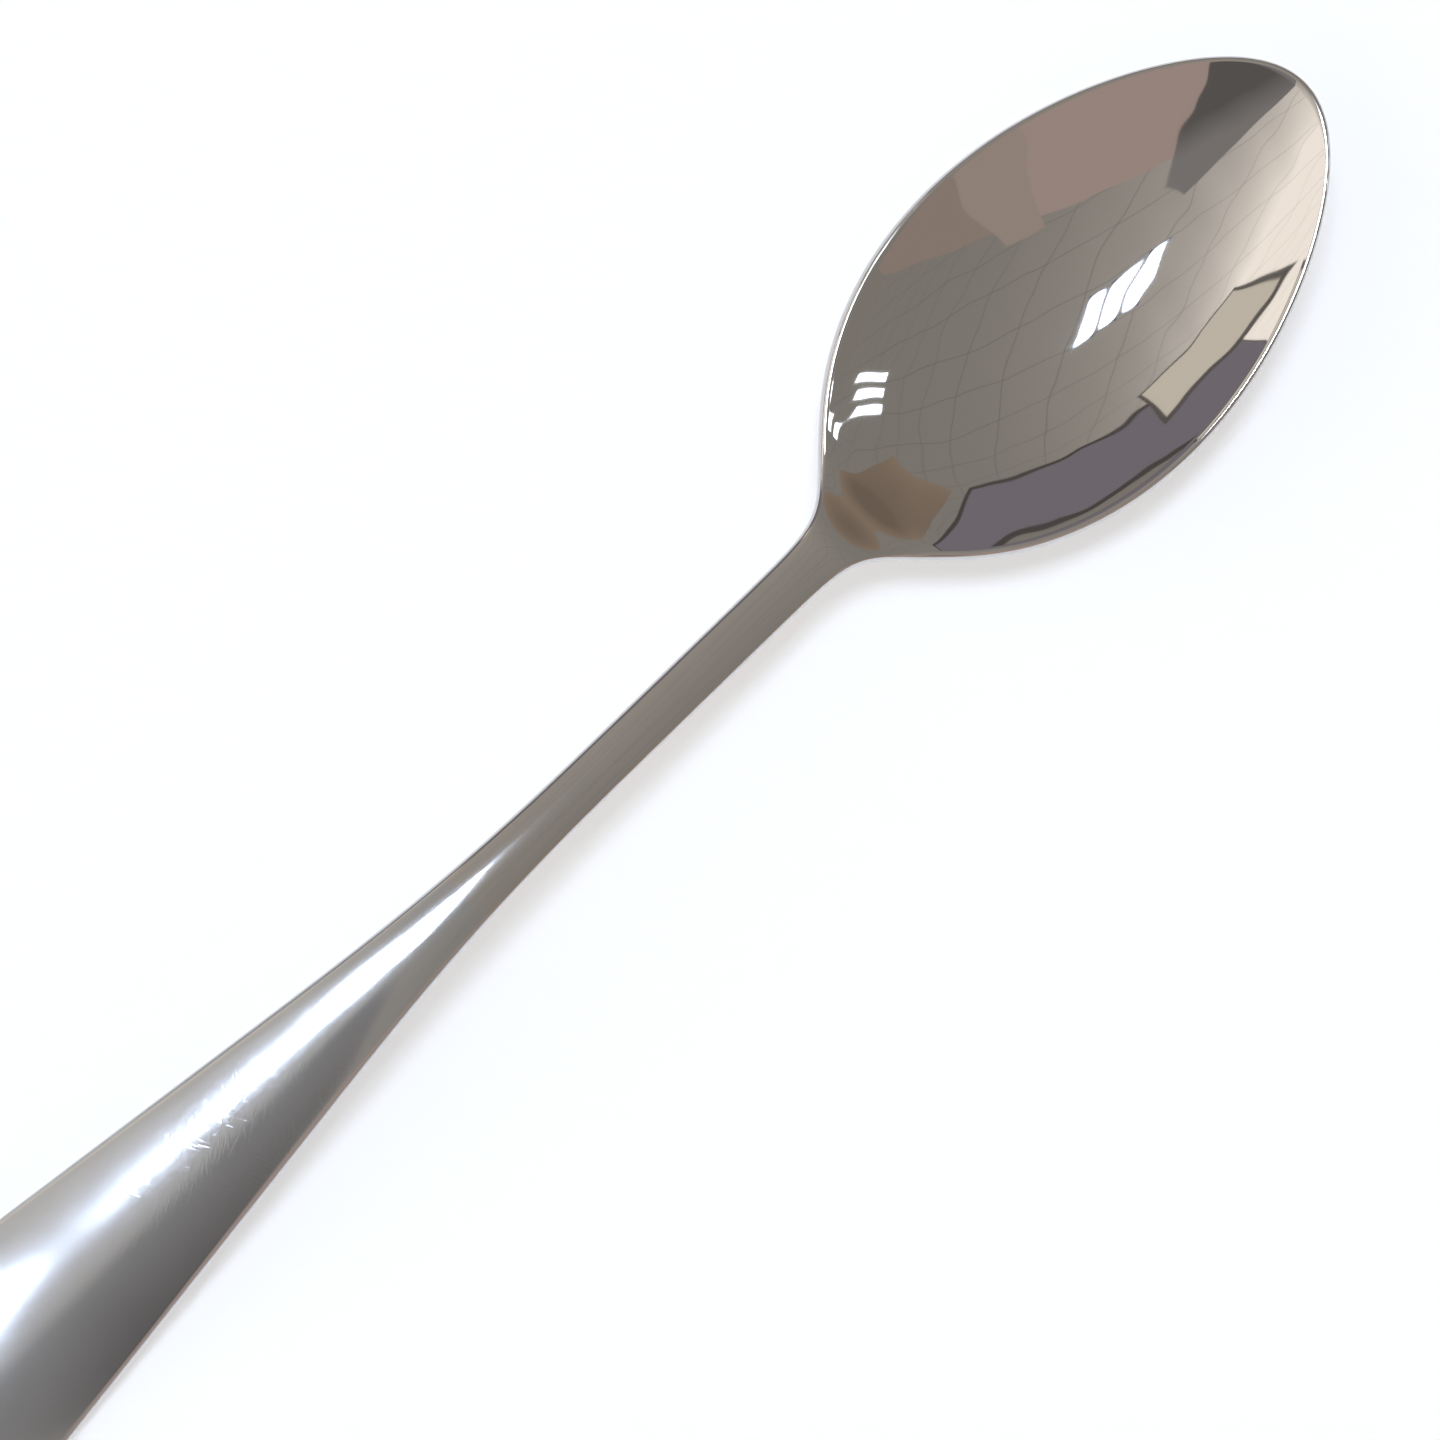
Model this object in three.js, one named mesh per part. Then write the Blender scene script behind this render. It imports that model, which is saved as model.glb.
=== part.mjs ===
// Coffee spoon in polished stainless steel: a dished bowl, a slim stem and a broad crowned handle.
// Millimetres, with X from the handle's end to the bowl's tip, Y across and Z up. The spoon lies as
// on a table: the bowl's underside and the back of the handle's end are flat where they touch Z = 0,
// and the origin is under the middle of its length. Its three lengths meet in flat butt faces.

import * as THREE from "three";

// Lengths along the spoon
const LENGTH = 132;
const BOWL_LENGTH = 41.4;
const HANDLE_LENGTH = 54.3;
const NECK_REACH = 4;
const SHOULDER_REACH = 2;
const FLARE_REACH = 14.8;
const END_ROUND = 11;

// Widths, seen from above
const BOWL_WIDTH = 24.4;
const STEM_WIDTH = 3.2;
const HANDLE_WIDTH = 14.4;
const SHOULDER_SOFTNESS = 4.5;
const EDGE_ROUND = 0.5;

// Depths and thicknesses
const BOWL_DEPTH = 5.4;
const BOWL_FLOOR = 1.4;
const DEEPEST_SHIFT = 1;
const RIM_EDGE = 1.3;
const RIM_DIP = 0.5;
const STEM_EDGE = 1.6;
const STEM_CROWN = 0.2;
const STEM_BELLY = 0.5;
const HANDLE_EDGE = 1.2;
const HANDLE_CROWN = 0.82;

// The line of the bent bar, seen from the side: flat foot, straight rise, crest and fall to the bowl,
// which it reaches a little above the rim
const FOOT_LENGTH = 14;
const FOOT_REACH = 9;
const CREST_TO_BOWL = 39.5;
const CREST_HEIGHT = 7.2;
const CREST_REACH = 12;
const NECK_RISE = 1;

// Shape numbers without a unit
const TIP_NARROWING = 0.195;
const EGG = 0.118;
const END_POWER = 2.4;
const RIM_TILT = 0.085;
const EDGE_ROUND_SHARE = 0.35;
const ROOT_FADE = 0.1;

// Facets: steps across every length, steps along each and where an outline turns into its end arc
const COLUMNS = 20;
const BOWL_ROWS = 30;
const STEM_ROWS = 12;
const HANDLE_ROWS = 26;
const CORNER = 0.88;
const HALVINGS = 40;

// Finishes
const MIRROR_STEEL = { color: 0xcdc8c3, metalness: 1, roughness: 0.08 };
const WORN_STEEL = { color: 0xc4c1bd, metalness: 1, roughness: 0.24 };

// Places along X
const TIP = LENGTH / 2;
const END = -LENGTH / 2;
const BOWL_MIDDLE = TIP - BOWL_LENGTH / 2;
const ROOT = TIP - BOWL_LENGTH;
const NECK = ROOT - NECK_REACH;
const CREST = ROOT - CREST_TO_BOWL;
const FLARE = END + HANDLE_LENGTH;
const FOOT = END + FOOT_LENGTH;
const FULL_WIDTH = END + END_ROUND;

// Heights and slopes that follow
const RIM_HEIGHT = BOWL_DEPTH + BOWL_FLOOR;
const RISE = CREST_HEIGHT / (CREST - FOOT);
const FALL = (CREST_HEIGHT - NECK_RISE - rimHeight(ROOT) + RIM_EDGE) / CREST_TO_BOWL;
const TAPER = (HANDLE_WIDTH - STEM_WIDTH) / 2 / (FLARE - FULL_WIDTH);

const { clamp, lerp, smootherstep } = THREE.MathUtils;

// Distance past a corner, with the corner rounded over reach on both sides of it.
function bend(x, at, reach) {
  if (x >= at + reach) return x - at;
  const t = Math.max((x - at + reach) / (2 * reach), 0);
  return 2 * reach * (t ** 3 - t ** 4 / 2);
}

// The larger of two squared widths, with a soft corner where they are alike.
function softMax(p, q, softness) {
  const k = softness ** 2;
  const top = Math.max(p, q);
  return top + k * Math.log(Math.exp((p - top) / k) + Math.exp((q - top) / k));
}

// How far the bowl has run from its middle: 1 at the tip and -1 where it meets the stem.
function alongBowl(x, inset) {
  return (x - BOWL_MIDDLE) / (BOWL_LENGTH / 2 - inset);
}

// How far the handle's end has closed: 0 at its full width and 1 at the very end.
function alongEnd(x, inset) {
  return clamp((FULL_WIDTH - x) / (END_ROUND - inset), 0, 1) ** END_POWER;
}

// Half the width of the tapered bar before its end is rounded.
function barHalfWidth(x) {
  return STEM_WIDTH / 2 + TAPER * bend(-x, -FLARE, FLARE_REACH);
}

// Half the width of the outline at x, or of the same outline drawn inset from the edge.
function halfWidth(x, inset) {
  const along = alongBowl(x, inset);
  const egg = (1 - along ** 2) / (1 + TIP_NARROWING * along ** 2) * (1 - EGG * along) ** 2;
  const bowl = (BOWL_WIDTH / 2 - inset) ** 2 * egg;
  if (x > BOWL_MIDDLE) return Math.sqrt(Math.max(bowl, 0));
  const bar = (barHalfWidth(x) - inset) ** 2 * (1 - alongEnd(x, inset));
  if (x < FLARE) return Math.sqrt(bar);
  return Math.sqrt(softMax(bowl, bar, SHOULDER_SOFTNESS));
}

// The share of the bowl's form at x, from 0 on the stem to 1 inside the bowl.
function bowlShare(x) {
  return smootherstep(x, NECK, ROOT + SHOULDER_REACH);
}

// The share of the handle's form at x, which grows as the bar widens.
function handleShare(x) {
  return (2 * barHalfWidth(x) - STEM_WIDTH) / (HANDLE_WIDTH - STEM_WIDTH);
}

// Height of the bowl's rim at x: tilted up towards the tip, and lower in the middle than at its ends.
function rimHeight(x) {
  return RIM_HEIGHT + RIM_TILT * (x - BOWL_MIDDLE) + RIM_DIP * alongBowl(x, 0) ** 2;
}

// How hollow the bowl is at x: 1 at the deepest place, 0 at the tip and on the stem.
function hollow(x, inset) {
  const along = alongBowl(x, inset);
  const shift = DEEPEST_SHIFT / (BOWL_LENGTH / 2);
  const leaning = along + shift * (1 - along ** 2);
  return bend(1 - leaning ** 2, 0, along < 0 ? ROOT_FADE : 0);
}

// Top and bottom of the spoon's edge at x.
function edge(x) {
  const bar = RISE * bend(x, FOOT, FOOT_REACH) - (RISE + FALL) * bend(x, CREST, CREST_REACH);
  const barThickness = lerp(STEM_EDGE, HANDLE_EDGE, handleShare(x));
  const bottom = lerp(bar, rimHeight(x) - RIM_EDGE, bowlShare(x));
  const thickness = lerp(barThickness, RIM_EDGE, bowlShare(x));
  const round = Math.min(EDGE_ROUND, EDGE_ROUND_SHARE * thickness);
  return { top: bottom + thickness, bottom, round };
}

// Heights of the front and the back at a place seen from above, inside the outline drawn inset.
// The back is cut off level where it would reach below the table.
function sheet(x, y, inset) {
  const { top, bottom } = edge(x);
  const half = halfWidth(x, inset);
  const t = half > 0 ? clamp(y / half, -1, 1) : 0;
  const onBar = 1 - bowlShare(x);
  const onHandle = handleShare(x);
  const deep = hollow(x, inset);
  const crown = lerp(STEM_CROWN, HANDLE_CROWN, onHandle) * onBar * (1 - alongEnd(x, inset));
  const belly = STEM_BELLY * onBar * Math.max(1 - onHandle, 0);
  const bow = 1 - t ** 2;
  return {
    front: top + (crown - BOWL_DEPTH * deep) * bow,
    back: Math.max(bottom - (belly + (RIM_HEIGHT - RIM_EDGE) * deep) * bow, 0),
  };
}

// Where the outline narrows to half-width y on its way from its full width to a rounded end.
function outlineAt(y, full, end, inset) {
  let wide = full;
  let narrow = end;
  for (let step = 0; step < HALVINGS; step += 1) {
    const middle = (wide + narrow) / 2;
    if (halfWidth(middle, inset) > y) wide = middle;
    else narrow = middle;
  }
  return narrow;
}

// A place seen from above: u runs along a length of the spoon and t across it, from -1 to 1.
// Towards a rounded end the lines across bow out, until the last one is the outline itself.
function plan(length, u, t, inset) {
  if (length.full === undefined) {
    const x = lerp(length.from, length.to, u);
    return { x, y: t * halfWidth(x, inset) };
  }
  const end = length.to - Math.sign(length.to - length.from) * inset;
  const corner = lerp(length.full, end, CORNER);
  const station = lerp(length.from, corner, u);
  const bow = clamp((station - length.full) / (corner - length.full), 0, 1) ** 2;
  const arc = outlineAt(Math.abs(t) * halfWidth(corner, inset), length.full, end, inset) - corner;
  return { x: station + bow * arc, y: t * halfWidth(station, inset) };
}

// The steps of a length's grid in order round its border, as pairs of row and column.
function border(rows) {
  const steps = [];
  for (let row = 0; row < rows; row += 1) steps.push([row, 0]);
  for (let column = 0; column < COLUMNS; column += 1) steps.push([rows, column]);
  for (let row = rows; row > 0; row -= 1) steps.push([row, COLUMNS]);
  for (let column = COLUMNS; column > 0; column -= 1) steps.push([0, column]);
  return steps;
}

// One length of the spoon as a closed skin: a front and a back sheet, joined all round by an edge
// with its two corners taken off. At a butt face the edge is the flat face itself.
function skin(length) {
  const points = [];
  const faces = [];
  const add = (x, y, z) => points.push(new THREE.Vector3(x, y, z)) - 1;
  const quad = (a, b, c, d) => faces.push(a, b, c, a, c, d);
  const across = (column) => (2 * column) / COLUMNS - 1;

  const front = [];
  const back = [];
  for (let row = 0; row <= length.rows; row += 1) {
    front.push([]);
    back.push([]);
    for (let column = 0; column <= COLUMNS; column += 1) {
      const { x, y } = plan(length, row / length.rows, across(column), EDGE_ROUND);
      const heights = sheet(x, y, EDGE_ROUND);
      front[row].push(add(x, y, heights.front));
      back[row].push(add(x, y, heights.back));
    }
  }

  for (let row = 0; row < length.rows; row += 1) {
    for (let column = 0; column < COLUMNS; column += 1) {
      const corners = (grid) => [
        grid[row][column],
        grid[row + 1][column],
        grid[row + 1][column + 1],
        grid[row][column + 1],
      ];
      const [a, b, c, d] = corners(front);
      const [e, f, g, h] = corners(back);
      if (column < COLUMNS / 2) {
        quad(b, c, d, a);
        quad(h, g, f, e);
      } else {
        quad(a, b, c, d);
        quad(e, h, g, f);
      }
    }
  }

  const rim = border(length.rows).map(([row, column]) => {
    const { x, y } = plan(length, row / length.rows, across(column), 0);
    const { top, bottom, round } = edge(x);
    return [back[row][column], add(x, y, bottom + round), add(x, y, top - round), front[row][column]];
  });
  rim.forEach((here, step) => {
    const next = rim[(step + 1) % rim.length];
    for (let layer = 0; layer < here.length - 1; layer += 1) {
      quad(here[layer], next[layer], next[layer + 1], here[layer + 1]);
    }
  });

  if (length.to < length.from) faces.reverse();
  const geometry = new THREE.BufferGeometry().setFromPoints(points);
  geometry.setIndex(faces);
  geometry.computeVertexNormals();
  return geometry;
}

function piece(name, length, finish) {
  const mesh = new THREE.Mesh(skin(length), new THREE.MeshStandardMaterial(finish));
  mesh.name = name;
  return mesh;
}

const bowl = { from: NECK, to: TIP, full: BOWL_MIDDLE, rows: BOWL_ROWS };
const stem = { from: FLARE, to: NECK, rows: STEM_ROWS };
const handle = { from: FLARE, to: END, full: FULL_WIDTH, rows: HANDLE_ROWS };

const spoon = new THREE.Group();
spoon.name = "coffee_spoon";
spoon.add(piece("bowl", bowl, MIRROR_STEEL));
spoon.add(piece("stem", stem, MIRROR_STEEL));
spoon.add(piece("handle", handle, WORN_STEEL));

export default spoon;
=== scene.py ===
# %% [markdown]
# # A polished coffee spoon
# The spoon is one forged piece of stainless steel: a dished bowl with a mirror polish, a slim stem, and
# a broad handle whose polish has been dulled by use. The solids that come from the CAD step are right in
# size but faceted, and a mirror shows every facet. So this lesson keeps them as the frame, lays smooth
# skins of the same sizes over them, and then spends its care on the polish and on what it reflects.

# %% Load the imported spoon
import math

import bmesh
import bpy
import numpy as np
from mathutils import Matrix, Vector


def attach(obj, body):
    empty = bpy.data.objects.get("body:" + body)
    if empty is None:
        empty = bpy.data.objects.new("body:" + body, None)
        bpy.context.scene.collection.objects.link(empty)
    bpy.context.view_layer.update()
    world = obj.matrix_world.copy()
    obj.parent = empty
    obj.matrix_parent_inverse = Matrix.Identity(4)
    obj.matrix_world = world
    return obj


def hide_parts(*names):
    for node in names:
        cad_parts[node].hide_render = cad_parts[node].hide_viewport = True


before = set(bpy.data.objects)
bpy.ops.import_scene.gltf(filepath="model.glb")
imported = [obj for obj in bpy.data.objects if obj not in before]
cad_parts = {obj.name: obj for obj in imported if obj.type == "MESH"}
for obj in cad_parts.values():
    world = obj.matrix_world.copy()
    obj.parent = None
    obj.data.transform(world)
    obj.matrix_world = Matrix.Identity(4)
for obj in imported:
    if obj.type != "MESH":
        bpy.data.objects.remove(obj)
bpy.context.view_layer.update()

# %% [markdown]
# ## The outline, seen from above
# A spoon is drawn first as an outline: an egg that is pointed towards the tip, and a bar that widens to a
# round end. The two could be cut out and merged as meshes, but the soft shoulder between them would then
# need a lot of smoothing. Here both are formulas for the half-width at a place x along the spoon, and a
# soft maximum joins them, so that the shoulder is smooth by itself. All sizes are in millimetres.

# %% Sizes of the outline
LENGTH = 132.0
BOWL_LENGTH = 41.4
HANDLE_LENGTH = 54.3
NECK_REACH = 4.0
SHOULDER_REACH = 2.0
FLARE_REACH = 14.8
END_ROUND = 11.0
BOWL_WIDTH = 24.4
STEM_WIDTH = 3.2
HANDLE_WIDTH = 14.4
SHOULDER_SOFTNESS = 4.5
TIP_NARROWING = 0.195
EGG = 0.118
END_POWER = 2.4

TIP = LENGTH / 2
END = -LENGTH / 2
BOWL_MIDDLE = TIP - BOWL_LENGTH / 2
ROOT = TIP - BOWL_LENGTH
NECK = ROOT - NECK_REACH
FLARE = END + HANDLE_LENGTH
FULL_WIDTH = END + END_ROUND
TAPER = (HANDLE_WIDTH - STEM_WIDTH) / 2 / (FLARE - FULL_WIDTH)
print("bowl, stem and handle meet at x =", round(NECK, 2), "and", round(FLARE, 2), "mm")


# %% Half-width of the outline
def lerp(start, stop, share):
    return start + (stop - start) * share


def bend(x, at, reach):
    """Distance past a corner, with the corner rounded over reach on both sides of it."""
    t = np.clip((x - at + reach) / (2 * reach), 0, 1)
    return np.where(x >= at + reach, x - at, 2 * reach * (t**3 - t**4 / 2))


def ease(x, start, stop):
    """0 before start, 1 after stop and a smooth rise between them."""
    t = np.clip((x - start) / (stop - start), 0, 1)
    return t**3 * (t * (6 * t - 15) + 10)


def along_bowl(x, inset):
    """-1 at the bowl's root, 0 at its middle and 1 at the tip, for an outline drawn inset."""
    return (x - BOWL_MIDDLE) / (BOWL_LENGTH / 2 - inset)


def along_end(x, inset):
    """0 on the handle and 1 at its very end."""
    return np.clip((FULL_WIDTH - x) / (END_ROUND - inset), 0, 1) ** END_POWER


def bar_half_width(x):
    return STEM_WIDTH / 2 + TAPER * bend(-x, -FLARE, FLARE_REACH)


def half_width(x, inset):
    """Half of the spoon's width at x, for an outline drawn inset from the edge."""
    along = along_bowl(x, inset)
    egg = (1 - along**2) / (1 + TIP_NARROWING * along**2) * (1 - EGG * along) ** 2
    bowl = (BOWL_WIDTH / 2 - inset) ** 2 * egg
    bar = (bar_half_width(x) - inset) ** 2 * (1 - along_end(x, inset))
    soft = SHOULDER_SOFTNESS**2
    shoulder = soft * np.logaddexp(np.maximum(bowl, -BOWL_WIDTH**2) / soft, bar / soft)
    squared = np.where(x > BOWL_MIDDLE, np.maximum(bowl, 0), np.where(x < FLARE, bar, shoulder))
    return np.sqrt(squared)


for label, place in (("bowl", BOWL_MIDDLE), ("stem", 0.0), ("handle", FULL_WIDTH)):
    print(label, "is", round(2 * float(half_width(np.array(place), 0)), 2), "mm wide at x =", place)

# %% [markdown]
# ## The side view: rim, arch, crown and hollow
# From the side the spoon is a bent bar: a flat foot at the handle's end, a low arch, and a bowl whose rim
# tilts up to the tip. Each surface then bows across its width, up along the handle and down in the bowl.
# Bending a flat cut-out with a lattice or a curve modifier would do this too, but a polished face shows
# the slightest waver, so the heights are formulas as well.

# %% Sizes of the side view
EDGE_ROUND = 0.5
EDGE_ROUND_SHARE = 0.35
BOWL_DEPTH = 5.4
BOWL_FLOOR = 1.4
DEEPEST_SHIFT = 1.0
RIM_EDGE = 1.3
RIM_DIP = 0.5
RIM_TILT = 0.085
ROOT_FADE = 0.1
STEM_EDGE = 1.6
STEM_CROWN = 0.2
STEM_BELLY = 0.5
HANDLE_EDGE = 1.2
HANDLE_CROWN = 0.82
FOOT_LENGTH = 14.0
FOOT_REACH = 9.0
CREST_TO_BOWL = 39.5
CREST_HEIGHT = 7.2
CREST_REACH = 12.0
NECK_RISE = 1.0

RIM_HEIGHT = BOWL_DEPTH + BOWL_FLOOR
CREST = ROOT - CREST_TO_BOWL
FOOT = END + FOOT_LENGTH


def rim_height(x):
    return RIM_HEIGHT + RIM_TILT * (x - BOWL_MIDDLE) + RIM_DIP * along_bowl(x, 0) ** 2


RISE = CREST_HEIGHT / (CREST - FOOT)
FALL = (CREST_HEIGHT - NECK_RISE - rim_height(ROOT) + RIM_EDGE) / CREST_TO_BOWL
print("the rim rises from", round(rim_height(ROOT), 2), "to", round(rim_height(TIP), 2), "mm")


# %% Heights of the edge, the front and the back
ALMOST_NOTHING = 1e-9


def bowl_share(x):
    """0 on the stem and the handle, 1 in the bowl."""
    return ease(x, NECK, ROOT + SHOULDER_REACH)


def handle_share(x):
    """0 on the stem, 1 where the handle is widest."""
    return (2 * bar_half_width(x) - STEM_WIDTH) / (HANDLE_WIDTH - STEM_WIDTH)


def hollow(x, inset):
    """The hollow's share of its full depth, along the middle of the bowl."""
    along = along_bowl(x, inset)
    leaning = along + DEEPEST_SHIFT / (BOWL_LENGTH / 2) * (1 - along**2)
    deep = 1 - leaning**2
    return np.where(along < 0, bend(deep, 0, ROOT_FADE), np.maximum(deep, 0))


def edge_heights(x):
    """Top and bottom of the spoon's edge at x."""
    bar = RISE * bend(x, FOOT, FOOT_REACH) - (RISE + FALL) * bend(x, CREST, CREST_REACH)
    bar_thickness = lerp(STEM_EDGE, HANDLE_EDGE, handle_share(x))
    bottom = lerp(bar, rim_height(x) - RIM_EDGE, bowl_share(x))
    return bottom + lerp(bar_thickness, RIM_EDGE, bowl_share(x)), bottom


def sheet_heights(x, y, inset):
    """Heights of the front and the back at a place inside the outline."""
    top, bottom = edge_heights(x)
    half = half_width(x, inset)
    across = np.clip(y / np.maximum(half, ALMOST_NOTHING), -1, 1)
    bow = 1 - across**2
    on_bar = 1 - bowl_share(x)
    on_handle = handle_share(x)
    deep = hollow(x, inset)
    crown = lerp(STEM_CROWN, HANDLE_CROWN, on_handle) * on_bar * (1 - along_end(x, inset))
    belly = STEM_BELLY * on_bar * np.maximum(1 - on_handle, 0)
    front = top + (crown - BOWL_DEPTH * deep) * bow
    back = bottom - (belly + (RIM_HEIGHT - RIM_EDGE) * deep) * bow
    return front, np.maximum(back, 0)


stations = np.array([BOWL_MIDDLE, CREST, FULL_WIDTH])
fronts, _ = sheet_heights(stations, 0 * stations, EDGE_ROUND)
print("front heights at bowl, crest and handle in mm:", np.round(fronts, 2))

# %% [markdown]
# ## From a flat grid to a closed skin
# One length of the spoon starts as a flat grid, which Blender's create_grid makes. Each point remembers
# how far along (u) and across (t) it lies. The grid is copied for the back, and the border of the front is
# extruded in small steps round the edge until it meets the back, where the two are merged. Only then are
# all points moved to their places, so the faces come from operators and the form from the formulas.
# Towards a rounded end the rows bow out, until the last row is the outline itself, which leaves no pole.

# %% Where each point of the grid goes
MM = 0.001
CORNER = 0.88
HALVINGS = 40


def outline_at(y, full, end, inset):
    """Where the outline narrows to half-width y on its way from full width to a rounded end."""
    wide = np.full_like(y, full)
    narrow = np.full_like(y, end)
    for _ in range(HALVINGS):
        middle = (wide + narrow) / 2
        inside = half_width(middle, inset) > y
        wide = np.where(inside, middle, wide)
        narrow = np.where(inside, narrow, middle)
    return narrow


def plan(start, stop, full, u, t, inset):
    """The grid point (u, t) seen from above, on the outline drawn inset from the edge."""
    # full is where the rounding of an end starts, and None on the stem, which has no end
    if full is None:
        x = lerp(start, stop, u)
        return x, t * half_width(x, inset)
    end = stop - math.copysign(1, stop - start) * inset
    corner = lerp(full, end, CORNER)
    station = lerp(start, corner, u)
    bow = np.clip((station - full) / (corner - full), 0, 1) ** 2
    corner_half = half_width(np.full_like(t, corner), inset)
    arc = outline_at(np.abs(t) * corner_half, full, end, inset) - corner
    return station + bow * arc, t * half_width(station, inset)


last_x, last_y = plan(NECK, TIP, BOWL_MIDDLE, np.ones(2), np.array([0.0, 1.0]), 0)
print("the bowl's last row runs from", np.round((last_x[1], last_y[1]), 2), "to x =", round(last_x[0], 2))

# %% The rounded edge
EDGE_STEPS = 6
ARC_PULL = 0.55


def edge_arc(s, slope, drop):
    """A Bezier curve that leaves a face along its slope and ends upright on the outline."""
    leave, arrive, land = 3 * s * (1 - s) ** 2, 3 * s**2 * (1 - s), s**3
    inset = EDGE_ROUND * ((1 - s) ** 3 + leave * (1 - ARC_PULL))
    rise = leave * slope * EDGE_ROUND * ARC_PULL + arrive * drop * (1 - ARC_PULL) + land * drop
    return inset, rise


halfway = edge_arc(0.5, 0.0, -EDGE_ROUND)
print("halfway round, the edge is", round(halfway[0], 3), "mm in and", round(-halfway[1], 3), "mm down")

# %% A flat front and back, with rings between them
COLUMNS = 96
LAST_RING = 2 * EDGE_STEPS + 1


def open_skin(rows):
    """A flat front and back, with the front's border extruded in rings that end at the back."""
    bm = bmesh.new()
    u_of = bm.verts.layers.float.new("u")
    t_of = bm.verts.layers.float.new("t")
    ring_of = bm.verts.layers.int.new("ring")
    bmesh.ops.create_grid(bm, x_segments=rows, y_segments=COLUMNS, size=1)
    for vert in bm.verts:
        vert[u_of] = (vert.co.x + 1) / 2
        vert[t_of] = vert.co.y
    border = [edge for edge in bm.edges if edge.is_boundary]
    copied = bmesh.ops.duplicate(bm, geom=bm.verts[:] + bm.edges[:] + bm.faces[:])["geom"]
    for item in copied:
        if isinstance(item, bmesh.types.BMVert):
            item[ring_of] = LAST_RING
    for ring in range(1, LAST_RING + 1):
        made = bmesh.ops.extrude_edge_only(bm, edges=border)["geom"]
        border = [item for item in made if isinstance(item, bmesh.types.BMEdge)]
        for item in made:
            if isinstance(item, bmesh.types.BMVert):
                item[ring_of] = ring
    return bm, u_of, t_of, ring_of


print("a length has", COLUMNS, "columns of faces, and", LAST_RING, "rings round its edge")

# %% Build one length of the spoon
SLOPE_STEP = 0.05
SHORTEST_RUN = SLOPE_STEP / 100
MERGE_DISTANCE = 1e-8


def skin(name, start, stop, full, rows):
    """Moves the points of a flat skin to their places, closes it and makes a piece of it."""
    bm, u_of, t_of, ring_of = open_skin(rows)
    verts = bm.verts[:]
    u = np.array([vert[u_of] for vert in verts])
    t = np.array([vert[t_of] for vert in verts])
    ring = np.array([vert[ring_of] for vert in verts])
    x, y = plan(start, stop, full, u, t, EDGE_ROUND)
    front, back = sheet_heights(x, y, EDGE_ROUND)
    z = np.where(ring == LAST_RING, back, front)
    inner_x, inner_y = plan(start, stop, full, u, t, EDGE_ROUND + SLOPE_STEP)
    inner_front, inner_back = sheet_heights(inner_x, inner_y, EDGE_ROUND)
    run = np.maximum(np.hypot(x - inner_x, y - inner_y), SHORTEST_RUN)
    for step in range(1, LAST_RING):
        here = ring == step
        from_back = step > EDGE_STEPS
        s = (LAST_RING - step if from_back else step) / EDGE_STEPS
        level, inner, sign = (back, inner_back, 1) if from_back else (front, inner_front, -1)
        slope = ((level - inner) / run)[here]
        drop = sign * np.minimum(EDGE_ROUND, EDGE_ROUND_SHARE * (front - back)[here])
        inset, rise = edge_arc(s, slope, drop)
        x[here], y[here] = plan(start, stop, full, u[here], t[here], inset)
        z[here] = level[here] + rise
    for vert, place in zip(verts, np.stack([x, y, z], -1) * MM):
        vert.co = place

    # A length with a rounded end has one flat cut, at u = 0, and the stem has two
    cuts = {0.0} if full is not None else {0.0, 1.0}
    bmesh.ops.remove_doubles(bm, verts=bm.verts, dist=MERGE_DISTANCE)
    bmesh.ops.recalc_face_normals(bm, faces=bm.faces)
    for face in bm.faces:
        face.smooth = True
    for edge in bm.edges:
        at_cut = [len({vert[u_of] for vert in face.verts} - cuts) == 0 for face in edge.link_faces]
        edge.smooth = len(set(at_cut)) == 1
    loose = sum(not edge.is_manifold for edge in bm.edges)
    mesh = bpy.data.meshes.new(name)
    bm.to_mesh(mesh)
    bm.free()
    piece = bpy.data.objects.new(name, mesh)
    bpy.context.scene.collection.objects.link(piece)
    print(name, "has", len(mesh.polygons), "faces and", loose, "open edges")
    return piece


# %% [markdown]
# ## Bowl, stem and handle
# The three lengths share the same formulas, so they meet without a step. One skin for the whole spoon
# would look the same, but the solids are three, and each gets a skin of its own that can stand for it.
# Where two lengths butt against each other their flat faces are hidden, and the edge round them is marked
# sharp, so that those hidden faces don't pull the shading of the outside towards them.

# %% Make the three lengths
bowl = skin("polished_bowl", NECK, TIP, BOWL_MIDDLE, rows=190)
stem = skin("polished_stem", FLARE, NECK, None, rows=120)
handle = skin("worn_handle", FLARE, END, FULL_WIDTH, rows=210)
lengths = (
    (bowl, "bowl", "mirror_steel"),
    (stem, "stem", "mirror_steel"),
    (handle, "handle", "worn_steel"),
)
for piece, node, slot in lengths:
    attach(piece, "root")
    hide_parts(node)

# %% [markdown]
# ## Polished stainless steel
# Polished stainless steel has no colour of its own to paint: nearly all that the eye sees is the room,
# slightly greyed. A metallic shader with a pale neutral grey does that. The life of the surface is in its
# polish: almost a mirror in the bowl, with faint smears from wiping, and duller towards the hand. Fine
# hairlines lie where the thumb rests, and catch the lamp beside its reflection. One set of nodes
# serves both finishes, driven by the place along the spoon, so that no line shows where lengths meet.


# %% Small helpers for materials
def linear(code):
    """An sRGB hex colour as linear numbers, with full alpha."""
    parts = [int(code[i : i + 2], 16) / 255 for i in (1, 3, 5)]
    return (*(c / 12.92 if c <= 0.04045 else ((c + 0.055) / 1.055) ** 2.4 for c in parts), 1.0)


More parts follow.
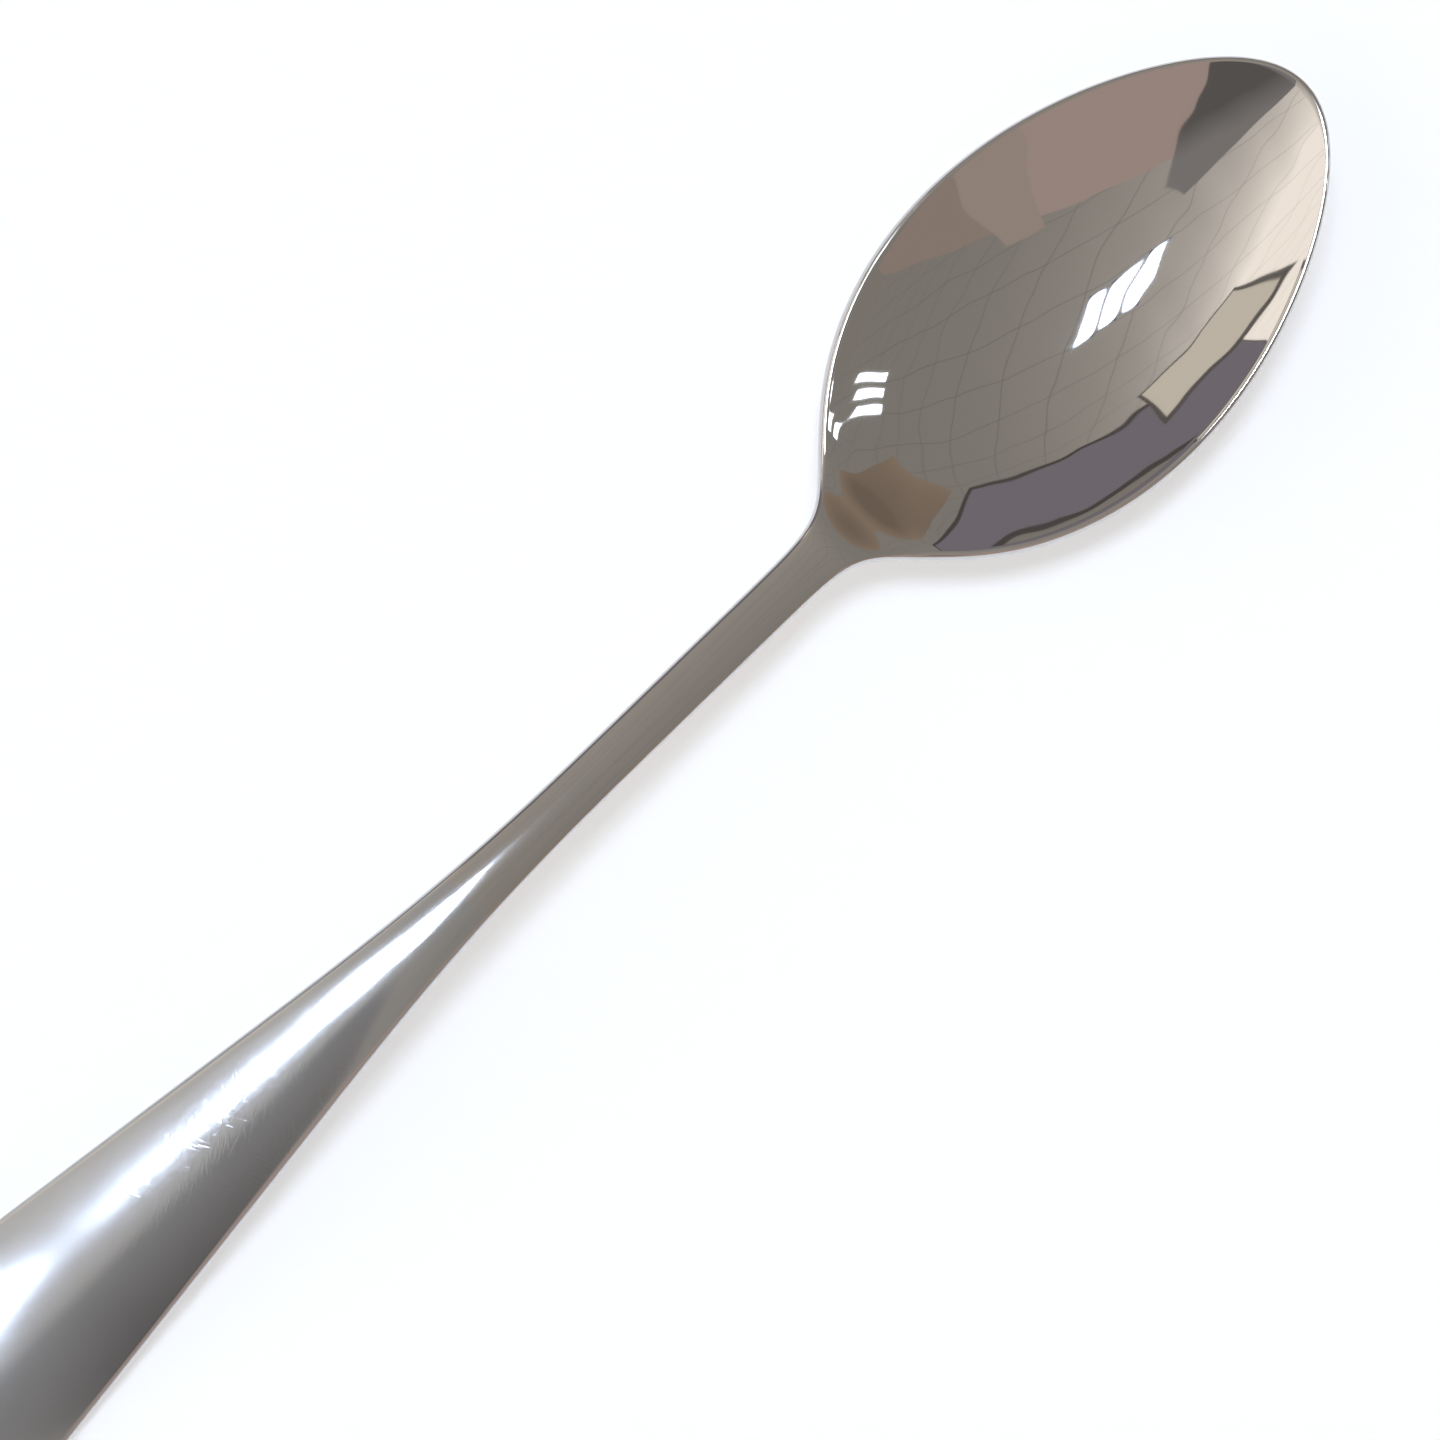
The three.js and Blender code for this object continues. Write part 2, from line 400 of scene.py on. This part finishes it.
def add(tree, kind, links=None, **settings):
    """Adds a node, sets its properties and gives its inputs a value or a link."""
    made = tree.nodes.new(kind)
    for name, value in settings.items():
        setattr(made, name, value)
    for name, value in (links or {}).items():
        if isinstance(value, bpy.types.NodeSocket):
            tree.links.new(value, made.inputs[name])
        else:
            made.inputs[name].default_value = value
    return made


def new_material(name):
    """A material without nodes, and its tree."""
    made = bpy.data.materials.new(name)
    made.use_nodes = True
    made.node_tree.nodes.clear()
    return made, made.node_tree


print("the sRGB grey #808080 gives back", round(linear("#808080")[0], 3), "of the light")

# %% Hairlines where the thumb rests
# Real hairlines are about a hundredth of a millimetre wide, finer than a pixel. These are drawn coarser
SCRATCH_LENGTH = 1.6
SCRATCH_WIDTH = 0.16
SCRATCH_DEPTH = 0.0032
SCRATCH_TURNS = (30, 52, 115)
SCRATCH_STARTS, SCRATCH_FULL = 0.56, 0.72
THUMB_PLACE = Vector((-33.0, -0.5, 6.0))
THUMB_REACH = Vector((14.0, 4.5, 6.0))


def hairlines(tree, place):
    """Height of the hairlines, from 0 to 1: stretched noise in several directions, under the thumb."""
    scratch = None
    for turn in SCRATCH_TURNS:
        lines = add(
            tree, "ShaderNodeMapping",
            {
                "Vector": place,
                "Rotation": (0.0, 0.0, math.radians(turn)),
                "Scale": (SCRATCH_LENGTH * MM, SCRATCH_WIDTH * MM, SCRATCH_LENGTH * MM),
            },
            vector_type="TEXTURE",
        ).outputs["Vector"]
        noise = add(
            tree, "ShaderNodeTexNoise", {"Vector": lines, "Scale": 1.0, "Detail": 2.0}
        ).outputs["Fac"]
        if scratch is None:
            scratch = noise
        else:
            scratch = add(
                tree, "ShaderNodeMath", {0: scratch, 1: noise}, operation="MAXIMUM"
            ).outputs["Value"]
    scratch = add(
        tree, "ShaderNodeMapRange",
        {
            "Value": scratch, "From Min": SCRATCH_STARTS, "From Max": SCRATCH_FULL,
            "To Min": 0.0, "To Max": 1.0,
        },
    ).outputs["Result"]
    by_thumb = add(
        tree, "ShaderNodeMapping",
        {"Vector": place, "Location": THUMB_PLACE * MM, "Scale": THUMB_REACH * MM},
        vector_type="TEXTURE",
    ).outputs["Vector"]
    thumb = add(
        tree, "ShaderNodeTexGradient", {"Vector": by_thumb}, gradient_type="SPHERICAL"
    ).outputs["Fac"]
    return add(tree, "ShaderNodeMath", {0: scratch, 1: thumb}, operation="MULTIPLY").outputs["Value"]


print("hairlines of", SCRATCH_LENGTH, "x", SCRATCH_WIDTH, "mm round x =", THUMB_PLACE.x, "mm")

# %% The steel and its wear
WEAR_STARTS, WEAR_FULL = 22.0, -30.0
WORN_ROUGHNESS = 0.105
SMEAR_SIZE = 5.0
SMEAR_ROUGHNESS = (0.034, 0.048)
SMEAR_NOISE = (0.35, 0.75)
RIPPLE_SIZE = 6.0
RIPPLE_DEPTH = 0.1
RIPPLE_RUBBED_OFF = 0.8


def polished_steel(name, colour):
    """Stainless steel, mirror-polished, with more wear and less gloss towards the hand."""
    material, tree = new_material(name)
    place = add(tree, "ShaderNodeTexCoord").outputs["Object"]
    along = add(tree, "ShaderNodeSeparateXYZ", {"Vector": place}).outputs["X"]
    wear = add(
        tree, "ShaderNodeMapRange",
        {
            "Value": along, "From Min": WEAR_STARTS * MM, "From Max": WEAR_FULL * MM,
            "To Min": 0.0, "To Max": 1.0,
        },
        interpolation_type="SMOOTHSTEP",
    ).outputs["Result"]

    smear = add(
        tree, "ShaderNodeTexNoise", {"Vector": place, "Scale": 1 / (SMEAR_SIZE * MM), "Detail": 3.0}
    ).outputs["Fac"]
    smeared = add(
        tree, "ShaderNodeMapRange",
        {
            "Value": smear, "From Min": SMEAR_NOISE[0], "From Max": SMEAR_NOISE[1],
            "To Min": SMEAR_ROUGHNESS[0], "To Max": SMEAR_ROUGHNESS[1],
        },
    ).outputs["Result"]
    dull = add(tree, "ShaderNodeMath", {0: wear, 1: WORN_ROUGHNESS}, operation="MULTIPLY").outputs["Value"]
    roughness = add(tree, "ShaderNodeMath", {0: smeared, 1: dull}, operation="ADD").outputs["Value"]

    ripple = add(
        tree, "ShaderNodeTexNoise", {"Vector": place, "Scale": 1 / (RIPPLE_SIZE * MM), "Detail": 1.0}
    ).outputs["Fac"]
    calm = add(
        tree, "ShaderNodeMath", {0: wear, 1: -RIPPLE_RUBBED_OFF, 2: 1.0}, operation="MULTIPLY_ADD"
    ).outputs["Value"]
    ripple = add(tree, "ShaderNodeMath", {0: ripple, 1: calm}, operation="MULTIPLY").outputs["Value"]
    waved = add(
        tree, "ShaderNodeBump", {"Height": ripple, "Distance": RIPPLE_DEPTH * MM, "Strength": 1.0}
    ).outputs["Normal"]
    relief = add(
        tree, "ShaderNodeBump",
        {
            "Height": hairlines(tree, place), "Distance": SCRATCH_DEPTH * MM, "Strength": 1.0,
            "Normal": waved,
        },
    ).outputs["Normal"]
    shader = add(
        tree, "ShaderNodeBsdfPrincipled",
        {"Base Color": linear(colour), "Metallic": 1.0, "Roughness": roughness, "Normal": relief},
    )
    add(tree, "ShaderNodeOutputMaterial", {"Surface": shader.outputs["BSDF"]})
    return material


# The bowl and the stem give back a clear picture of the room
mirror_steel = polished_steel("stainless_steel_mirror_polished", "#CCCBCA")
# The handle gives back a softened one, with glinting hairlines
# Its grey is a touch cooler than the bowl's: a painted share of the lamp's cool light in its softened
# reflection
worn_steel = polished_steel("stainless_steel_polish_worn_by_handling_and_lamp_tinted", "#C8CBCE")
for piece, finish in ((bowl, mirror_steel), (stem, mirror_steel), (handle, worn_steel)):
    piece.data.materials.append(finish)
print("steel finishes:", mirror_steel.name, "and", worn_steel.name)

# %% [markdown]
# ## The floor
# The spoon lies on a plain white ground. Stronger lamps could make it that white, but they would wash out
# the steel. So to the camera, and in the steel, about half of the white is the ground's own glow. The rest
# is lit by the studio, and that part keeps the spoon's soft shadow.

# %% A flat card, and the floor as the first one
FLOOR_SIZE = 108.0


def flat_card(name, length, width, place, taper=1.0):
    """A flat card, narrowed to a share of its width at one end, turned and moved by the matrix place."""
    bm = bmesh.new()
    bmesh.ops.create_grid(bm, x_segments=1, y_segments=1, size=0.5)
    near_end = [vert for vert in bm.verts if vert.co.x > 0]
    bmesh.ops.scale(bm, vec=(1, taper, 1), verts=near_end, space=Matrix.Translation((0, -0.5, 0)))
    bmesh.ops.scale(bm, vec=(length, width, 1), verts=bm.verts)
    bmesh.ops.transform(bm, matrix=place, verts=bm.verts)
    mesh = bpy.data.meshes.new(name)
    bm.to_mesh(mesh)
    bm.free()
    card = bpy.data.objects.new(name, mesh)
    bpy.context.scene.collection.objects.link(card)
    return card


floor = flat_card("floor", FLOOR_SIZE, FLOOR_SIZE, Matrix.Identity(4))
print("floor of", FLOOR_SIZE, "m")

# %% White floor and white world
FLOOR_GLOW = 0.5


def seen_rays(tree):
    """1 for rays from the camera, and for those that metal or glass sends on."""
    path = add(tree, "ShaderNodeLightPath").outputs
    some = add(
        tree, "ShaderNodeMath", {0: path["Is Camera Ray"], 1: path["Is Glossy Ray"]}, operation="ADD"
    ).outputs["Value"]
    return add(
        tree, "ShaderNodeMath", {0: some, 1: path["Is Transmission Ray"]}, operation="ADD", use_clamp=True
    ).outputs["Value"]


# Matt paint spreads the light evenly, so the floor shows a shadow but no reflection
floor_white, tree = new_material("matt_pale_floor")
glow = add(
    tree, "ShaderNodeMath", {0: seen_rays(tree), 1: FLOOR_GLOW}, operation="MULTIPLY"
).outputs["Value"]
glowing = add(tree, "ShaderNodeEmission", {"Color": linear("#FFFFFF"), "Strength": glow})
matt = add(tree, "ShaderNodeBsdfDiffuse", {"Color": linear("#B4B5B6")})
both = add(tree, "ShaderNodeAddShader", {0: glowing.outputs["Emission"], 1: matt.outputs["BSDF"]})
add(tree, "ShaderNodeOutputMaterial", {"Surface": both.outputs["Shader"]})
floor.data.materials.append(floor_white)

world = bpy.data.worlds.new("white_studio")
bpy.context.scene.world = world
world.use_nodes = True
tree = world.node_tree
tree.nodes.clear()
backdrop = add(tree, "ShaderNodeBackground", {"Color": linear("#FFFFFF"), "Strength": seen_rays(tree)})
add(tree, "ShaderNodeOutputWorld", {"Surface": backdrop.outputs["Background"]})
print("the floor glows at", FLOOR_GLOW, "in", floor_white.name)

# %% [markdown]
# ## What the steel reflects
# A mirror under a plain sky-coloured world looks like grey plastic. Photographers build a small room of
# cards round cutlery: a broad soft ceiling, darker on one side, a few strip lamps and a dark flag. The
# cards here are flat grids that glow a little and are hidden from the camera, so they show only in the
# steel. This room is as high as a hall, so that bowl and handle see each card in the same direction. The
# ceiling's panel seams bend in the bowl and tell the eye how it is curved.

# %% The room and how its cards glow
ROOM_HEIGHT = 10.8
ROOM_TURN = math.radians(52.6)
room = Matrix.Rotation(ROOM_TURN, 4, "Z")


def glow_material(name, colour, level):
    """A glowing card: level is a number, or a function that adds nodes to a tree and gives a socket."""
    material, tree = new_material(name)
    strength = level(tree) if callable(level) else level
    emission = add(tree, "ShaderNodeEmission", {"Color": linear(colour), "Strength": strength})
    add(tree, "ShaderNodeOutputMaterial", {"Surface": emission.outputs["Emission"]})
    return material


def hide_from_camera(card, material):
    """Gives a card its glow, and lets the camera and the light of the lamps pass through it."""
    card.data.materials.append(material)
    card.visible_camera = False
    card.visible_shadow = False


print("room of", ROOM_HEIGHT, "m, turned by", round(math.degrees(ROOM_TURN), 1), "degrees")

# %% A panelled ceiling, brighter to one side
CEILING_SIZE = 10 * ROOM_HEIGHT
PANEL = 0.355 * ROOM_HEIGHT
SEAM = 0.01 * ROOM_HEIGHT
PANEL_SHIFT = Vector((0.04, 0.0135, 0.0)) * ROOM_HEIGHT
BRIGHTER_WAY = Vector((-0.489, 2.175, 0)) / ROOM_HEIGHT
BRIGHTEST_LEAN = 2.34
DIM_GLOW = 0.31
RISING_GLOW = 0.104
PANEL_COLOUR = linear("#FFF5EA")
SEAM_COLOUR = linear("#D8CFC5")
SEAM_SOFTNESS = 0.6

ceiling = flat_card("ceiling", CEILING_SIZE, CEILING_SIZE, Matrix.Translation((0, 0, ROOM_HEIGHT)))
# Matt painted panels, an even pale paint with slightly darker seams. Their glow stands in for the light on
# them and is brighter to one side: painted light.
ceiling_glow, tree = new_material("panelled_ceiling")
place = add(tree, "ShaderNodeTexCoord").outputs["Object"]
turned = add(
    tree, "ShaderNodeMapping",
    {"Vector": place, "Rotation": (0.0, 0.0, -ROOM_TURN), "Location": PANEL_SHIFT},
).outputs["Vector"]
lean = add(
    tree, "ShaderNodeVectorMath", {0: turned, 1: BRIGHTER_WAY}, operation="DOT_PRODUCT"
).outputs["Value"]
lean = add(tree, "ShaderNodeMath", {0: lean, 1: BRIGHTEST_LEAN}, operation="MINIMUM").outputs["Value"]
lit = add(tree, "ShaderNodeMath", {0: lean}, operation="EXPONENT").outputs["Value"]
lit = add(
    tree, "ShaderNodeMath", {0: lit, 1: RISING_GLOW, 2: DIM_GLOW}, operation="MULTIPLY_ADD"
).outputs["Value"]
seams = add(
    tree, "ShaderNodeTexBrick",
    {
        "Vector": turned, "Scale": 1.0, "Bias": -1.0, "Brick Width": PANEL, "Row Height": PANEL,
        "Mortar Size": SEAM / 2, "Mortar Smooth": SEAM_SOFTNESS,
        "Color1": PANEL_COLOUR, "Color2": PANEL_COLOUR, "Mortar": SEAM_COLOUR,
    },
    offset=0.0,
)
emission = add(tree, "ShaderNodeEmission", {"Color": seams.outputs["Color"], "Strength": lit})
add(tree, "ShaderNodeOutputMaterial", {"Surface": emission.outputs["Emission"]})
hide_from_camera(ceiling, ceiling_glow)
print("ceiling at", ROOM_HEIGHT, "m in panels of", round(PANEL, 2), "m")

# %% [markdown]
# ## Walls, screens and a flag
# Walls close the room below the ceiling, so that the steep sides of the bowl don't show bare white. The
# screens and the reflector stand before the outer walls, two of them with a darker frame behind, and give
# the bowl shapes to bend. Boxes would do as well, but the steel sees only their faces, so flat cards are
# enough. The flag is a small cloth close to the handle. It keeps one flank of the handle grey beside the
# lamp's band, which makes the crown look round.

# %% Walls and screens
FADE_STARTS = 0.55
upright = Matrix.Rotation(math.radians(90), 4, "Y")


def wall(name, turn, away, aside, foot, height, width, colour, strength, head=None):
    """An upright card in the room's direction turn, with all its sizes in room heights."""

    def fading(tree):
        """The glow changes from strength to head in the upper part of the card."""
        place = add(tree, "ShaderNodeTexCoord").outputs["Object"]
        return add(
            tree, "ShaderNodeMapRange",
            {
                "Value": add(tree, "ShaderNodeSeparateXYZ", {"Vector": place}).outputs["Z"],
                "From Min": (foot + FADE_STARTS * height) * ROOM_HEIGHT,
                "From Max": (foot + height) * ROOM_HEIGHT,
                "To Min": strength, "To Max": head,
            },
        ).outputs["Result"]

    spot = Matrix.Translation(Vector((away, aside, foot + height / 2)) * ROOM_HEIGHT)
    place = Matrix.Rotation(math.radians(turn), 4, "Z") @ room @ spot @ upright
    # Each card glows in place of matt paint lit by the room: painted light. Matt paint has one calm tone,
    # so that only the outline of a card stands out in the bowl
    paint = glow_material(name + "_lit_paint_glow", colour, strength if head is None else fading)
    hide_from_camera(flat_card(name, height * ROOM_HEIGHT, width * ROOM_HEIGHT, place), paint)


# turn in degrees, then away, aside, foot, height and width, and the colour and strength of the glow
# The warm wall and the shaded wall are one wall: its lit part glows brighter than its shaded part, as
# painted light and shade
wall("lit_warm_wall", 163.6, 0.66, 0.3, 0.0, 1.0, 1.2, "#FFE3D7", 0.5)
wall("shaded_wall", 163.6, 0.66, 2.98, 0.0, 1.0, 4.16, "#FFE6D5", 0.38)
wall("pillar", 168.0, 0.59, 0.85, 0.0, 1.0, 0.36, "#FFE8D8", 0.45)
for name, turn in (("front_wall", 0), ("left_wall", 90), ("right_wall", -90)):
    wall(name, turn, 4.0, 0.0, 0.0, 1.0, 10.0, "#F3E9DD", 0.34)
wall("low_screen", -10, 1.375, 0.72, 0.3, 0.53, 2.0, "#E6DCE8", 0.31)
wall("low_screen_frame", -10, 1.39, 0.72, 0.26, 0.62, 2.08, "#FFF2E8", 0.1)
wall("brown_screen", -46.1, 1.25, 0.0, 0.0, 0.77, 0.76, "#F4D8BE", 0.25, head=0.37)
wall("reflector", 38.4, 1.32, 0.0, 0.5, 0.37, 0.6, "#FFF4E2", 0.82)
wall("reflector_frame", 38.4, 1.335, 0.0, 0.47, 0.43, 0.66, "#FFF2E8", 0.14)

# %% A flag close to the handle
FLAG_LENGTH = 0.17
FLAG_WIDTH = 0.475
FLAG_TAPER = 0.126
FLAG_PLACE = (-0.145, -0.2575, 0.3)
FLAG_PALER_WAY = (1.2, 1.0, 0.0)
FLAG_DARK_AT, FLAG_PALE_AT = -0.358, -0.218
FLAG_DARK, FLAG_PALE = 0.145, 0.29


def flag_level(tree):
    """The cloth glows paler towards the stem, where more light falls on it: painted light."""
    place = add(tree, "ShaderNodeTexCoord").outputs["Object"]
    paler = add(
        tree, "ShaderNodeVectorMath", {0: place, 1: FLAG_PALER_WAY}, operation="DOT_PRODUCT"
    ).outputs["Value"]
    return add(
        tree, "ShaderNodeMapRange",
        {
            "Value": paler, "From Min": FLAG_DARK_AT, "From Max": FLAG_PALE_AT,
            "To Min": FLAG_DARK, "To Max": FLAG_PALE,
        },
    ).outputs["Result"]


# A dark velvet cloth, drawn as a dim glow that stands in for the little light the cloth sends back: painted
# light, so the steel shows it as a soft dark grey
flag = flat_card("dark_flag", FLAG_LENGTH, FLAG_WIDTH, Matrix.Translation(FLAG_PLACE), FLAG_TAPER)
hide_from_camera(flag, glow_material("dark_velvet_flag_painted_light", "#FBF3EE", flag_level))
print("flag of", FLAG_LENGTH, "x", FLAG_WIDTH, "m at", FLAG_PLACE[2], "m above the floor")

# %% [markdown]
# ## Strip lamps
# Two lamps of three frosted bars each hang under the ceiling, one overhead and one far off. A card with an
# even glow could stand for a bar. But a bar is so much brighter than the ceiling that a sliver of it turns
# a whole pixel white, and its edges look ragged in the steel. A real frosted bar is brightest along its
# middle, so the overhead ones fade towards their sides and ends, and that keeps their edges clean.

# %% How the overhead bars glow
BAR_WIDTH = 0.106 * ROOM_HEIGHT
BAR_STEP = 0.118 * ROOM_HEIGHT
BAR_LENGTH = 0.32 * ROOM_HEIGHT
BAR_SHIFT = -0.02 * ROOM_HEIGHT
LAMP_X = 0.144 * ROOM_HEIGHT
LAMP_Y = 0.188 * ROOM_HEIGHT
LAMP_STRENGTH = 66.0
BAR_SIDE_STRENGTH = 1.0
BAR_END_SHARE = 0.02
BAR_END_FADE = 0.3 * BAR_LENGTH


def bar_level(tree):
    """Brightest along the middle line of the nearest bar, and fading to its sides and ends."""
    place = add(tree, "ShaderNodeTexCoord").outputs["Object"]
    lamp_middle = room.to_3x3() @ Vector((LAMP_X, LAMP_Y, 0))
    turned = add(
        tree, "ShaderNodeMapping",
        {"Vector": place, "Location": lamp_middle, "Rotation": (0.0, 0.0, ROOM_TURN)},
        vector_type="TEXTURE",
    ).outputs["Vector"]
    parts = add(tree, "ShaderNodeSeparateXYZ", {"Vector": turned}).outputs
    from_bar = add(
        tree, "ShaderNodeMath", {0: parts["Y"], 1: BAR_STEP / 2}, operation="PINGPONG"
    ).outputs["Value"]
    along = add(
        tree, "ShaderNodeMath",
        {0: parts["Y"], 1: -BAR_SHIFT / BAR_STEP, 2: parts["X"]},
        operation="MULTIPLY_ADD",
    ).outputs["Value"]
    along = add(tree, "ShaderNodeMath", {0: along}, operation="ABSOLUTE").outputs["Value"]
    to_sides = add(
        tree, "ShaderNodeMapRange",
        {
            "Value": from_bar, "From Min": 0.0, "From Max": BAR_WIDTH / 2,
            "To Min": LAMP_STRENGTH, "To Max": BAR_SIDE_STRENGTH,
        },
        interpolation_type="SMOOTHSTEP",
    ).outputs["Result"]
    to_ends = add(
        tree, "ShaderNodeMapRange",
        {
            "Value": along, "From Min": BAR_END_FADE, "From Max": BAR_LENGTH / 2,
            "To Min": 1.0, "To Max": BAR_END_SHARE,
        },
        interpolation_type="SMOOTHSTEP",
    ).outputs["Result"]
    return add(tree, "ShaderNodeMath", {0: to_sides, 1: to_ends}, operation="MULTIPLY").outputs["Value"]


# A frosted tube gives a cool white light with soft edges
lamp_glow = glow_material("frosted_strip_lamp", "#DCE9FF", bar_level)
print("overhead bars", round(BAR_WIDTH, 2), "m wide, at most", LAMP_STRENGTH, "strong")

# %% Hang the two lamps
LAMP_DROP = 0.015 * ROOM_HEIGHT
FAR_STRENGTH = 5.0
FAR_WIDTH = 0.1 * ROOM_HEIGHT
FAR_LENGTH = 0.9 * ROOM_HEIGHT
FAR_SHORTER = 0.28 * ROOM_HEIGHT
FAR_X = 0.04 * ROOM_HEIGHT
FAR_STEP = 0.2 * ROOM_HEIGHT
FAR_Y = -1.82 * ROOM_HEIGHT
FAR_TURN = -6

# From far off the same tube looks paler and much weaker
far_glow = glow_material("frosted_strip_lamp_far", "#EEF5FF", FAR_STRENGTH)


def strip(name, x, y, length, width, turn, glow):
    """A lamp's bar under the ceiling, with its middle at (x, y) in the room's directions."""
    spot = Matrix.Translation((x, y, ROOM_HEIGHT - LAMP_DROP)) @ Matrix.Rotation(math.radians(turn), 4, "Z")
    hide_from_camera(flat_card(name, length, width, room @ spot), glow)


for index in (-1, 0, 1):
    bar_x = LAMP_X + index * BAR_SHIFT
    bar_y = LAMP_Y + index * BAR_STEP
    strip(f"overhead_strip_{index + 2}", bar_x, bar_y, BAR_LENGTH, BAR_WIDTH, 0, lamp_glow)
    far_length = FAR_LENGTH - index * FAR_SHORTER
    far_x = FAR_X + index * FAR_STEP
    far_y = FAR_Y - far_length / 2
    strip(f"far_strip_{index + 2}", far_x, far_y, FAR_WIDTH, far_length, FAR_TURN, far_glow)
print("two lamps of three bars,", round(LAMP_DROP, 2), "m under the ceiling")

# %% [markdown]
# ## The camera
# The picture is taken from close above, a little towards the handle, with the camera turned so that the
# spoon crosses the frame from corner to corner. A constraint could aim the camera, but it would choose
# the roll by itself. So the direction is built from two plain angles, and the three axes of the camera go
# straight into its matrix.

# %% Place the camera
CAMERA_TILT = math.radians(12)
CAMERA_ROLL = math.radians(44.3)
CAMERA_AWAY = 0.3
AIM = Vector((7.96, -3.08, 8.0)) * MM
FOCAL_PIXELS = 4732
FRAME_PIXELS = 1440
SENSOR_WIDTH = 36

back = Vector((-math.sin(CAMERA_TILT), 0, math.cos(CAMERA_TILT)))
side = Vector((math.cos(CAMERA_TILT), 0, math.sin(CAMERA_TILT)))
left = Vector((0, 1, 0))
right = math.cos(CAMERA_ROLL) * side - math.sin(CAMERA_ROLL) * left
up = math.sin(CAMERA_ROLL) * side + math.cos(CAMERA_ROLL) * left
lens = bpy.data.cameras.new("camera")
lens.sensor_width = SENSOR_WIDTH
lens.lens = FOCAL_PIXELS / FRAME_PIXELS * SENSOR_WIDTH
camera = bpy.data.objects.new("camera", lens)
bpy.context.scene.collection.objects.link(camera)
axes = Matrix((right, up, back)).transposed().to_4x4()
camera.matrix_world = Matrix.Translation(AIM + CAMERA_AWAY * back) @ axes
bpy.context.scene.camera = camera
bpy.context.scene.view_settings.view_transform = "Standard"
print("camera at", [round(value, 4) for value in camera.matrix_world.translation], "m")
print("lens of", round(lens.lens, 1), "mm")
